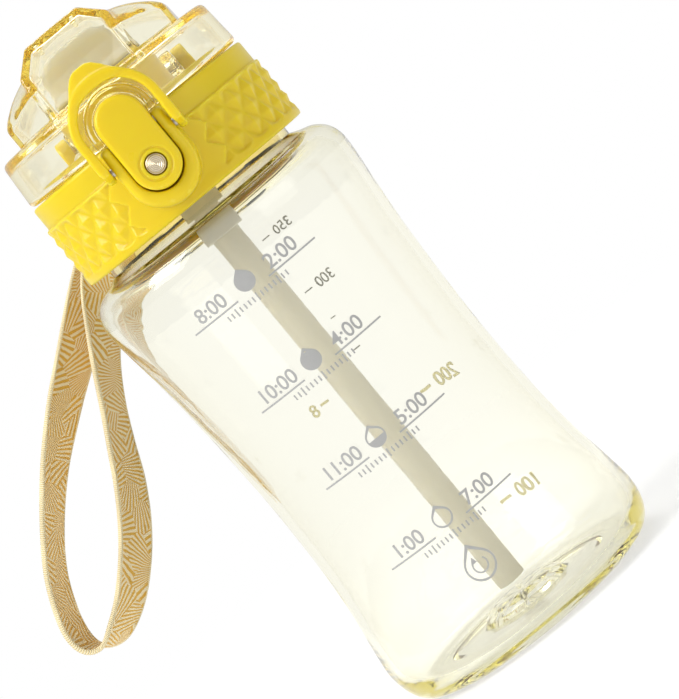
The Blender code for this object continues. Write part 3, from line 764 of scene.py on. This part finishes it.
def lid_field(x, y, z):
    r = np.hypot(x, y)
    band = meet(r - (BAND[0] - knurl(x, y, z)), slab(z, BAND[1], BAND[2]), 0.6)
    upper = meet(r - UPPER[0], slab(z, 122.0, UPPER[1]), 0.8)
    deck = meet(r - DECK[0], slab(z, 130.0, DECK[2]), 0.9)
    tower = meet(r - TOWER[0], slab(z, 130.0, TOWER[1]), 1.6)
    shell = union(union(union(band, upper, 0.15), deck, 0.5), tower, 1.4)
    bracket = meet(slab(x, -20.5, 20.5), convex(y, z, [
        (22.0, 127.5), (27.0, 124.0), (30.5, 124.0), (34.0, 129.5), (34.0, 141.0), (22.0, 141.0)
    ], 1.0), 1.0)
    ear = meet(rod(x, z, (STRAP_X, STRAP_Z), 6.0), slab(y, 20.0, 34.2), 0.8)
    lug = union(rod(y, z, HINGE, 3.4), convex(y, z, [
        (26.5, 139.0), (34.3, 139.0), (34.3, HINGE[1]), (HINGE[0] - 3.4, HINGE[1])
    ]), 0.3)
    lug = meet(lug, slab(np.abs(x), 16.5, 20.5), 0.6)
    half, low, top, front = HOUSING
    housing = meet(meet(trough(x, z, half, low), z - top, 1.2), slab(y, front, -26.0), 2.2)
    solid = union(union(union(shell, bracket, 0.8), ear, 0.6), union(lug, housing, 0.1), 0.8)
    hollow = meet(r - LID_BORE_R, z - DECK[1], 0.6)
    plug = meet(slab(r, 20.4, 22.2), 131.5 - z, 0.4)
    core = meet(r - 12.0, z - 137.4, 0.3)
    hollow = union(cut(hollow, plug, 0.3), core, 0.2)
    solid = cut(solid, hollow, 0.4)
    solid = cut(solid, r - TOWER[2], 0.5)
    flare = np.clip((-36.2 - y) * 0.6, 0, 0.15)
    well = trough(x, z, BUTTON[0] + BUTTON_GAP, BUTTON[1] - PRESS_ROOM)
    pocket = meet(well - flare, y - POCKET_BACK_Y, 0.3)
    solid = cut(solid, pocket, 0.5)
    for radius, centre, reach in ((1.55, HINGE, 30.0), (1.2, LATCH_PIN, 20.0)):
        solid = cut(solid, meet(rod(y, z, centre, radius), slab(x, -reach, reach), 0.1), 0.2)
    solid = cut(solid, meet(rod(y, z, BAIL_PIN, 1.3), 6.4 - np.abs(x), 0.1), 0.2)
    solid = cut(solid, meet(rod(x, z, (STRAP_X, STRAP_Z), 2.7), 30.0 - y, 0.1), 0.2)
    solid = cut(solid, meet(rod(x, y, VENT, 2.3), 130.0 - z, 0.1), 0.2)
    root, crest = LID_THREAD[:2]
    rise = thread_rise(np.arctan2(y, x) % math.tau, z, LID_THREAD)
    ridge = meet(meet(root - (root - crest) * rise - r, r - root - 0.6, 0.2), slab(z, 126.5, 136.0), 0.2)
    return union(solid, ridge, 0.2)


def lid_collar(mat):
    return moulded("lid_moulding", lid_field, (-31, -37, 119.5), (31, 35, 154), 0.4, mat)


def lid_gasket(mat):
    outline = [(26.6, 136.1), (27.0, 137.4), (26.6, 138.7), (22.6, 138.7), (22.6, 136.1)]
    return turned("gasket_ring", rounded(outline, 0.5), mat)


def straw_adapter(mat):
    outline = [
        (5.0, 111.0), (5.0, 136.4), (11.5, 136.4), (11.5, 138.7), (5.2, 138.7), (4.4, 140.0), (4.4, 149.0),
        (3.0, 149.0), (3.0, 139.0), (3.8, 138.4), (3.8, 111.0),
    ]
    return turned("adapter_sleeve", rounded(outline, 0.35), mat, 96)


def straw(mat):
    outline = [(3.5, 9.0), (3.5, 138.0), (2.7, 138.0), (2.7, 9.0)]
    return turned("straw_tube", rounded(outline, 0.3), mat, 96)


def vent_valve(mat):
    outline = [
        (3.1, 143.6), (3.1, 144.1), (2.2, 144.7), (0.6, 144.9), (0.6, 137.6), (1.9, 137.6), (2.6, 138.6),
        (1.9, 138.6), (1.9, 143.6),
    ]
    return turned("vent_button", rounded(outline, 0.25), mat, 48, centre=VENT)


def spout_field(x, y, z):
    stations = (155.0, 156.2, 159.4, 161.8, 163.5, 164.1)
    wide = np.interp(z, stations, (10.6, 9.9, 9.7, 9.0, 6.6, 5.0))
    deep = np.interp(z, stations, (8.6, 6.8, 5.0, 4.2, 3.5, 2.4))
    lean = np.interp(z, stations, (-0.6, -2.2, -5.0, -7.4, -9.0, -9.6))
    mouth = ((np.abs(x / wide) ** 3 + np.abs((y - lean) / deep) ** 3) ** (1 / 3) - 1) * deep
    mouth = meet(mouth, slab(z, 154.6, 164.1), 0.5)
    stem = meet(np.hypot(x, y) - 7.9, slab(z, 141.0, 155.0), 0.5)
    flange = (np.sqrt((x / 11.2) ** 2 + (y / 9.6) ** 2) - 1) * 9.6
    flange = meet(flange, slab(z, 154.0, 155.3), 0.5)
    solid = union(union(stem, flange, 0.3), mouth, 1.3)
    bore = np.hypot(x, y - np.interp(z, (150.0, 156.0, 160.6), (0.0, -1.5, -6.0)))
    bore = meet(bore - np.interp(z, (150.0, 156.0, 160.6), (4.8, 3.8, 2.2)), z - 160.6, 0.3)
    lean_back = y - np.interp(z, (159.6, 165.5), (-6.0, -10.2))
    slit = meet(meet(slab(x, -2.6, 2.6), slab(lean_back, -0.35, 0.35), 0.2), 159.6 - z, 0.1)
    return cut(cut(solid, bore, 0.3), slit, 0.3)


def spout(mat):
    return moulded("spout_mouthpiece", spout_field, (-11.5, -13, 140.5), (11.5, 10, 164.5), 0.3, mat)


# ---------------------------------------------------------------- clear cover

def cover_planes():
    """Outer planes of the cover's broad block and of its narrow middle with the prow."""
    roof = [(BLOCK_HALF, 157.8), (21.0, 159.4), (19.0, 161.0), (16.5, 162.6), (12.5, 164.3), (0.0, 165.6)]
    main = [(x, y, z - fall) for y, fall in ((-9.0, 0.0), (8.0, 0.0), (19.5, 3.6)) for x, z in roof]
    main += [(BAY_HALF, -21.5, 161.5), (BAY_HALF, -21.5, 148.0), (BLOCK_HALF, -9.0, 148.0)]
    main += [(BLOCK_HALF, 16.5, 148.0), (BLOCK_HALF - 4.0, 19.5, 148.0)]
    bay = [
        (BAY_HALF, -23.6, 148.0), (BAY_HALF, -20.6, 163.9), (BAY_HALF, 8.0, 163.9), (BAY_HALF, 18.5, 160.4),
        (BAY_HALF, 18.5, 148.0), (TOP_HALF, -18.0, TOP_Z), (TOP_HALF, 4.0, TOP_Z), (TOP_HALF, 18.5, 163.0),
        (0.0, -27.6, 148.0), (0.0, -19.4, TOP_Z),
    ]
    return hull_planes(main), hull_planes(bay)


def cover_field(main_planes, bay_planes):
    main_open = [p for p in main_planes if p[2] > -0.9]
    bay_open = [p for p in bay_planes if p[2] > -0.9]

    def field(x, y, z):
        r = np.hypot(x, y) + 0.07 * (z - COVER_BOTTOM_Z)
        main = meet(solid_of(main_open, x, y, z, 0.5), 146.0 - z, 0.2)
        bay = meet(solid_of(bay_open, x, y, z, 0.45), 146.0 - z, 0.2)
        skirt = meet(r - COVER_R, slab(z, COVER_BOTTOM_Z, SHELF_Z), 1.5)
        outer = union(union(skirt, main, 0.5), bay, 0.5)
        lip = meet(trough(x, -z, 8.0, -ARCH_Z - 8.0), slab(y, -35.2, -24.0), 0.9)
        lip = meet(lip, COVER_BOTTOM_Z - z, 0.3)
        groove = np.hypot(np.hypot(x, z - ARCH_Z) - 7.0, y + 35.5) - 0.6
        lip = cut(lip, groove, 0.2)
        arm = union(rod(y, z, HINGE, 2.9), convex(y, z, [
            (22.0, 144.6), (HINGE[0], HINGE[1] - 2.9), (HINGE[0], HINGE[1] + 2.9), (22.0, 150.4)
        ]), 0.2)
        arm = meet(arm, slab(np.abs(x), 9.2, 16.2), 0.6)
        outer = union(union(outer, lip, 0.5), arm, 0.5)
        inner = meet(r - (COVER_R - COVER_WALL), z - (SHELF_Z - COVER_WALL + 0.2), 1.0)
        block_inside = solid_of(main_open, x, y, z, 0.3) + COVER_WALL
        bay_inside = solid_of(bay_open, x, y, z, 0.3) + COVER_WALL
        inner = union(union(inner, block_inside, 0.4), bay_inside, 0.4)
        peg = block(np.abs(x), y, z, (4.2, -17.0, TOP_Z - 3.6), (5.2, -13.5, TOP_Z - 1.0), 0.3)
        shell = union(cut(outer, inner, 0.3), peg, 0.2)
        tunnel = meet(trough(x, -z, BUTTON[0] + 0.35, -ARCH_Z - BUTTON[0] - 0.35), y + 29.9, 0.2)
        gap = meet(meet(slab(x, -8.9, 8.9), 20.0 - y, 0.2), z - 150.7, 0.3)
        bore = meet(rod(y, z, HINGE, 1.55), slab(x, -25.0, 25.0), 0.1)
        return cut(cut(cut(shell, tunnel, 0.3), gap, 0.3), bore, 0.15)

    return field


def dome_cover(mat):
    field = cover_field(*cover_planes())
    return moulded("cover_moulding", field, (-30, -36, 141), (30, 34.5, 169), 0.34, mat)


# ---------------------------------------------------------------- hinge

def wire_coil(name, mat, centre, r, wire, low, high, turns, legs=()):
    """A helical spring about an X axis with two straight legs, or about a Y axis without them."""
    a, b = centre
    count = int(turns * 32)
    points = []
    for i in range(count + 1):
        along = low + (high - low) * i / count
        u, v = (r * f(math.tau * i / 32) for f in (math.cos, math.sin))
        points.append((along, a + u, b + v) if legs else (a + u, along, b + v))
    if legs:
        points = [legs[0], *points, legs[1]]
    curve = bpy.data.curves.new(name, "CURVE")
    curve.dimensions = "3D"
    curve.bevel_depth = wire * MM
    curve.bevel_resolution = 4
    curve.use_fill_caps = True
    line = curve.splines.new("POLY")
    line.points.add(len(points) - 1)
    for point, place in zip(line.points, points):
        point.co = (*(c * MM for c in place), 1.0)
    curve.materials.append(mat)
    return add(name, curve)


def hinge_springs(mat):
    made = []
    for side, sign in (("left", -1), ("right", 1)):
        low, high = sign * 2.4, sign * 8.0
        legs = ((low, HINGE[0] + 2.15, HINGE[1] - 4.6), (high, HINGE[0] - 2.0, HINGE[1] + 3.4))
        made.append(wire_coil("torsion_spring_" + side, mat, HINGE, 2.15, 0.4, low, high, 4.5, legs))
    return made


def rounded_pin(name, mat, centre, r, low, high):
    outline = rounded([(0.0, low), (r, low), (r, high), (0.0, high)], 0.25)
    return turned(name, outline, mat, 48, axis="x", centre=centre)


def button_spring(mat):
    """The coil behind the button, as a mesh; on the real bottle it shortens as the button is pressed."""
    name = "button_return_spring"
    wire = wire_coil(name + "_wire", mat, (0.0, SPRING_Z), *BUTTON_SPRING)
    mesh = bpy.data.meshes.new_from_object(wire)
    bpy.data.objects.remove(wire)
    mesh.materials.clear()
    mesh.materials.append(mat)
    return add(name, mesh)


# ---------------------------------------------------------------- latch

def button_field(x, y, z):
    half, low, high, front, back = BUTTON
    bulge = 0.25 * np.clip(1 - (x / half) ** 2, 0, 1)
    solid = meet(stadium(x, z, half, low, high) - 0.1, slab(y + bulge - 0.25, front, back), 1.1)
    nose = meet(slab(x, -2.8, 2.8), convex(y, z, [
        (-33.0, 145.6), (-30.6, 145.6), (-30.6, 146.4), (-31.9, 147.6), (-33.0, 147.6)
    ], 0.2), 0.3)
    solid = union(solid, nose, 0.3)
    ring = np.hypot(rod(x, z, (0.0, STUD_Z), 3.5), y - front - 0.05) - 0.3
    solid = cut(solid, ring, 0.2)
    solid = cut(solid, meet(rod(y, z, LATCH_PIN, 1.2), slab(x, -10, 10), 0.1), 0.2)
    solid = cut(solid, meet(rod(x, z, (0.0, STUD_Z), 2.5), y + 36.6, 0.1), 0.25)
    return cut(solid, meet(rod(x, z, (0.0, SPRING_Z), 2.6), -35.4 - y, 0.1), 0.2)


def latch_button(mat):
    return moulded("push_button", button_field, (-6, -38.7, 126), (6, -30.3, 149.2), 0.2, mat)


def button_stud(mat):
    outline = [(0.0, -36.9), (2.2, -36.9), (2.2, -38.3), (1.75, -38.75), (0.0, -38.9)]
    return turned("stud_cap", rounded(outline, 0.2), mat, 64, axis="y", centre=(0.0, STUD_Z))


def bail_field(x, y, z):
    inner, outer, centre, front, back = BAIL
    drop = np.maximum(z - centre, 0)
    ring = slab(np.hypot(x, drop), inner - 0.05, outer + 0.1)
    hoop = meet(meet(ring, slab(y, front, back), 0.8), 137.0 - z, 0.4)
    lean = y - np.interp(z, (152.9, 155.4, 157.8), (-36.75, -35.85, -34.9))
    thick = np.interp(z, (152.9, 155.4, 157.8), (1.05, 1.0, 0.9))
    wide = np.interp(z, (152.0, 153.5, 155.4, 157.0, 157.8), (6.6, 5.6, 4.5, 3.0, 1.6))
    tab = meet(meet(np.abs(x) - wide, np.abs(lean) - thick, 0.7), slab(z, 152.4, 157.8), 0.5)
    arm = union(rod(y, z, BAIL_PIN, 2.1), convex(y, z, [
        (-37.9, 136.2), (-35.0, 134.8), (-31.6, 137.0), (-35.0, 140.5), (-37.95, 140.5)
    ], 0.4), 0.4)
    arm = meet(arm, slab(np.abs(x), inner + 0.05, outer - 0.05), 0.7)
    solid = union(union(hoop, tab, 1.5), arm, 0.5)
    return cut(solid, meet(rod(y, z, BAIL_PIN, 1.3), slab(x, -10.3, 10.3), 0.1), 0.2)


def lock_bail(mat):
    return moulded("bail_hoop", bail_field, (-11, -38.2, 133.5), (11, -30.7, 158), 0.22, mat)


# ---------------------------------------------------------------- strap

def strap_frames(per_span):
    """Centre, width direction and thickness direction along the strap's loop, in millimetres."""
    line = spline(STRAP_ROUTE, per_span)
    frames = []
    for i, (x, y, z, turn) in enumerate(line):
        near, far = line[max(i - 1, 0)], line[min(i + 1, len(line) - 1)]
        tangent = (Vector(far[:3]) - Vector(near[:3])).normalized()
        across = tangent.cross(Vector((0, 1, 0))).normalized()
        face = across.cross(tangent).normalized()
        angle = math.radians(turn)
        wide = across * math.cos(angle) + face * math.sin(angle)
        thick = face * math.cos(angle) - across * math.sin(angle)
        frames.append((Vector((x, y, z)), wide, thick))
    return frames


def webbing_section():
    """Points round the ribbon's section as (width, thickness, u), with a bead along each edge."""
    half, deep = WEBBING[0] / 2, WEBBING[1] / 2
    across = [-1, -0.985, -0.95, -0.9, -0.86, -0.8, -0.5, -0.25, 0, 0.25, 0.5, 0.8, 0.86, 0.9, 0.95, 0.985, 1]
    depth = [0.0, 0.6, 0.92, 1.0, 0.86, 0.7, 0.72, 0.72, 0.72, 0.72, 0.72, 0.7, 0.86, 1.0, 0.92, 0.6, 0.0]
    upper = [(a * half, b * deep, (a + 1) * half) for a, b in zip(across, depth)]
    lower = [(a, -b, u) for a, b, u in upper[-2:0:-1]]
    return upper + lower


def wrist_strap(mat):
    frames = strap_frames(6)
    section = webbing_section()
    verts, run, previous = [], [], None
    length = 0.0
    for centre, wide, thick in frames:
        length += (centre - previous).length if previous else 0.0
        previous = centre
        run.append(length)
        verts += [tuple(centre + wide * a + thick * b) for a, b, _ in section]
    count = len(section)
    faces, marks = [], []
    for i in range(len(frames) - 1):
        for k in range(count):
            m = (k + 1) % count
            faces.append([i * count + k, i * count + m, (i + 1) * count + m, (i + 1) * count + k])
            marks.append([(section[k][2], run[i]), (section[m][2], run[i]),
                          (section[m][2], run[i + 1]), (section[k][2], run[i + 1])])
    mesh = bpy.data.meshes.new("strap_ribbon")
    caps = [list(range(count)), list(range((len(frames) - 1) * count, len(frames) * count))[::-1]]
    mesh.from_pydata([[c * MM for c in v] for v in verts], [], faces + caps)
    places = mesh.uv_layers.new(name="UVMap")
    flat = [uv for face in marks for uv in face]
    for cap, at in zip(caps, (run[0], run[-1])):
        flat += [(section[i % count][2], at) for i in cap]
    places.data.foreach_set("uv", [c for uv in flat for c in uv])
    mesh.shade_smooth()
    mesh.set_sharp_from_angle(angle=math.radians(60))
    mesh.materials.append(mat)
    obj = add("strap_ribbon", mesh)
    bm = bmesh.new()
    bm.from_mesh(mesh)
    bmesh.ops.recalc_face_normals(bm, faces=bm.faces)
    bm.to_mesh(mesh)
    bm.free()
    path = [tuple(c * MM for c in centre) for centre, _, _ in frames]
    return obj, path, length * MM


def strap_stud(mat):
    outline = [
        (0.0, 30.4), (2.4, 30.4), (2.4, 37.9), (4.8, 37.9), (4.8, 38.5), (4.2, 38.95), (1.6, 39.0), (1.3, 38.6),
        (0.0, 38.6),
    ]
    return turned("anchor_stud", rounded(outline, 0.25), mat, 64, axis="y", centre=(STRAP_X, STRAP_Z))


# ---------------------------------------------------------------- studio

def world():
    """White for the camera, and dimmer by kind of ray; reflections also have two darker sides."""
    made = bpy.data.worlds.new("studio")
    bpy.context.scene.world = made
    made.use_nodes = True
    tree = made.node_tree
    background = tree.nodes["Background"]
    way = node(tree, "TexCoord").outputs["Generated"]
    across = maths(tree, "ABSOLUTE", node(tree, "SeparateXYZ", {0: way}).outputs[0])
    path = node(tree, "LightPath")
    level = maths(tree, "MULTIPLY_ADD", maths(tree, "POWER", across, 12.0), -0.3, 0.62)
    for ray, strength in (("Transmission", 0.93), ("Diffuse", 0.40), ("Camera", 1.0)):
        level = node(tree, "Mix", {0: path.outputs[f"Is {ray} Ray"], 2: level, 3: strength}).outputs[0]
    tree.links.new(level, background.inputs["Strength"])
    background.inputs["Color"].default_value = (1.0, 1.0, 1.0, 1.0)


def floor():
    """A pale floor that fades into the white of the studio away from the bottle."""
    mesh = bpy.data.meshes.new("floor")
    corners = [(x * FLOOR_REACH, y * FLOOR_REACH, 0) for x, y in ((-1, -1), (1, -1), (1, 1), (-1, 1))]
    mesh.from_pydata(corners, [], [(0, 1, 2, 3)])
    obj = add("floor", mesh)
    obj.location.z = -0.3 * MM
    mat = bpy.data.materials.new("floor")
    mat.use_nodes = True
    tree = mat.node_tree
    tree.nodes.remove(tree.nodes["Principled BSDF"])
    where = node(tree, "TexCoord").outputs["Object"]
    away = node(tree, "VectorMath", {0: where}, operation="LENGTH").outputs["Value"]
    fade = node(
        tree, "MapRange", {"Value": away, "From Min": 0.10, "From Max": 0.42}, interpolation_type="SMOOTHSTEP"
    )
    matt = node(tree, "BsdfDiffuse", {"Color": (0.60, 0.60, 0.59, 1.0)})
    glow = node(tree, "Emission", {"Color": (1.0, 1.0, 1.0, 1.0), "Strength": 0.50})
    lit = node(tree, "AddShader", {0: matt.outputs[0], 1: glow.outputs[0]})
    white = node(tree, "Emission", {"Color": (1.0, 1.0, 1.0, 1.0), "Strength": 1.0})
    both = node(tree, "MixShader", {0: fade.outputs[0], 1: lit.outputs[0], 2: white.outputs[0]})
    tree.links.new(both.outputs[0], tree.nodes["Material Output"].inputs["Surface"])
    mesh.materials.append(mat)


def direction(azimuth, elevation):
    """Unit vector from the bottle, in degrees; azimuth 0 is towards -Y, the latch's side."""
    a, e = math.radians(azimuth), math.radians(elevation)
    return Vector((math.sin(a) * math.cos(e), -math.cos(a) * math.cos(e), math.sin(e)))


def softbox(name, azimuth, elevation, distance, size, power):
    """A square area light aimed at the middle of the bottle."""
    aim = Vector((0.0, 0.0, LIGHTS_AIM_Z))
    back = direction(azimuth, elevation)
    light = bpy.data.lights.new(name, "AREA")
    light.size = size
    light.energy = power
    obj = add(name, light)
    obj.location = aim + back * distance
    obj.rotation_mode = "QUATERNION"
    obj.rotation_quaternion = (-back).to_track_quat("-Z", "Y")


def lights():
    softbox("key", -58, 40, 1.0, 0.55, 8.0)
    softbox("fill", 52, 18, 1.1, 0.7, 1.6)
    softbox("top", 170, 62, 0.9, 0.6, 3.0)


def camera():
    """The photograph's view: a long lens, a little above the bottle, rolled so that the top leans left."""
    distance, elevation, azimuth, roll, lens = 0.80, 4.0, 2.5, 39.7, 185.0
    a, c = math.radians(azimuth), math.radians(roll)
    target = Vector((CAMERA_AIM[0] * math.cos(a), CAMERA_AIM[0] * math.sin(a), CAMERA_AIM[1]))
    back = direction(azimuth, elevation)
    right = Vector((0, 0, 1)).cross(back).normalized()
    up = back.cross(right)
    side = right * math.cos(c) - up * math.sin(c)
    top = right * math.sin(c) + up * math.cos(c)
    data = bpy.data.cameras.new("camera")
    data.lens = lens
    data.sensor_width = 36.0
    data.clip_start, data.clip_end = 0.05, 20.0
    obj = add("camera", data)
    obj.location = target + back * distance
    obj.rotation_mode = "QUATERNION"
    obj.rotation_quaternion = Matrix((side, top, back)).transposed().to_quaternion()
    bpy.context.scene.camera = obj


def render_quality():
    """Enough bounces for light to pass the clear walls, and white kept white."""
    scene = bpy.context.scene
    scene.view_settings.view_transform = "Standard"
    scene.cycles.max_bounces = 64
    scene.cycles.transmission_bounces = 48
    scene.cycles.glossy_bounces = 40
    scene.cycles.diffuse_bounces = 4
    scene.cycles.transparent_max_bounces = 16
    scene.cycles.sample_clamp_indirect = 4.0


# ---------------------------------------------------------------- the whole

def place(obj, body, slot=None, nodes=()):
    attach(obj, body)
    if nodes:
        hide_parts(*nodes)
    return obj


def build():
    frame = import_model()
    camera()
    ribbon, path, length = wrist_strap(webbing())
    place(ribbon, "strap", "webbing", ["wrist_strap"])
    body_mat = clear_plastic("clear_body", (0.52, 0.45, 0.22), (0.89, 0.82, 0.08), 30.0, 0.03, PAINTED_LID_REFLECTION_Z)
    cover_mat = clear_plastic("clear_cover", (0.90, 0.64, 0.04), (0.95, 0.84, 0.08), 60.0, 0.03)
    yellow, rubber, metal = yellow_plastic(), silicone(), steel()
    grey_ink = ink("grey_ink", (0.52, 0.52, 0.51), 0.2)
    raised_mat = ink("raised_marks", (0.84, 0.77, 0.42), 0.85)
    place(bottle_body(body_mat), "bottle", "clear_body", ["bottle_body"])
    place(front_marks(grey_ink), "bottle")
    for marks in back_marks(grey_ink, raised_mat):
        place(marks, "bottle")
    place(lid_gasket(rubber), "seal", "silicone", ["lid_gasket"])
    place(lid_collar(yellow), "lid", "yellow_plastic", ["lid_collar"])
    place(straw_adapter(rubber), "lid", "silicone", ["straw_adapter"])
    place(straw(frosted_straw()), "lid", "frosted_straw", ["straw"])
    place(spout(rubber), "lid", "silicone", ["spout"])
    place(vent_valve(rubber), "lid", "silicone", ["vent_valve"])
    place(dome_cover(cover_mat), "cover", "clear_cover", ["dome_cover"])
    bodies = {n: b for b, members in frame["record"]["behaviour"]["bodies"].items() for n in members}
    pins = {
        "hinge_pin": (HINGE, 1.25, -20.3, 20.3), "latch_pin": (LATCH_PIN, 0.9, -8.0, 8.0),
        "bail_pin_left": (BAIL_PIN, 1.0, -10.1, -6.7), "bail_pin_right": (BAIL_PIN, 1.0, 6.7, 10.1),
    }
    for name, (centre, r, low, high) in pins.items():
        place(rounded_pin(name + "_steel", metal, centre, r, low, high), bodies[name], "steel", [name])
    for name, spring in zip(("hinge_spring_left", "hinge_spring_right"), hinge_springs(metal)):
        place(spring, bodies[name], "steel", [name])
    coil = place(button_spring(metal), bodies["latch_spring"], "steel", ["latch_spring"])
    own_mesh(coil)
    place(latch_button(yellow), "button", "yellow_plastic", ["latch_button"])
    place(button_stud(stud_metal()), "button", "steel", ["button_stud"])
    place(lock_bail(yellow), "bail", "yellow_plastic", ["lock_bail"])
    place(strap_stud(yellow), bodies["strap_stud"], "yellow_plastic", ["strap_stud"])
    world()
    floor()
    lights()
    render_quality()


build()
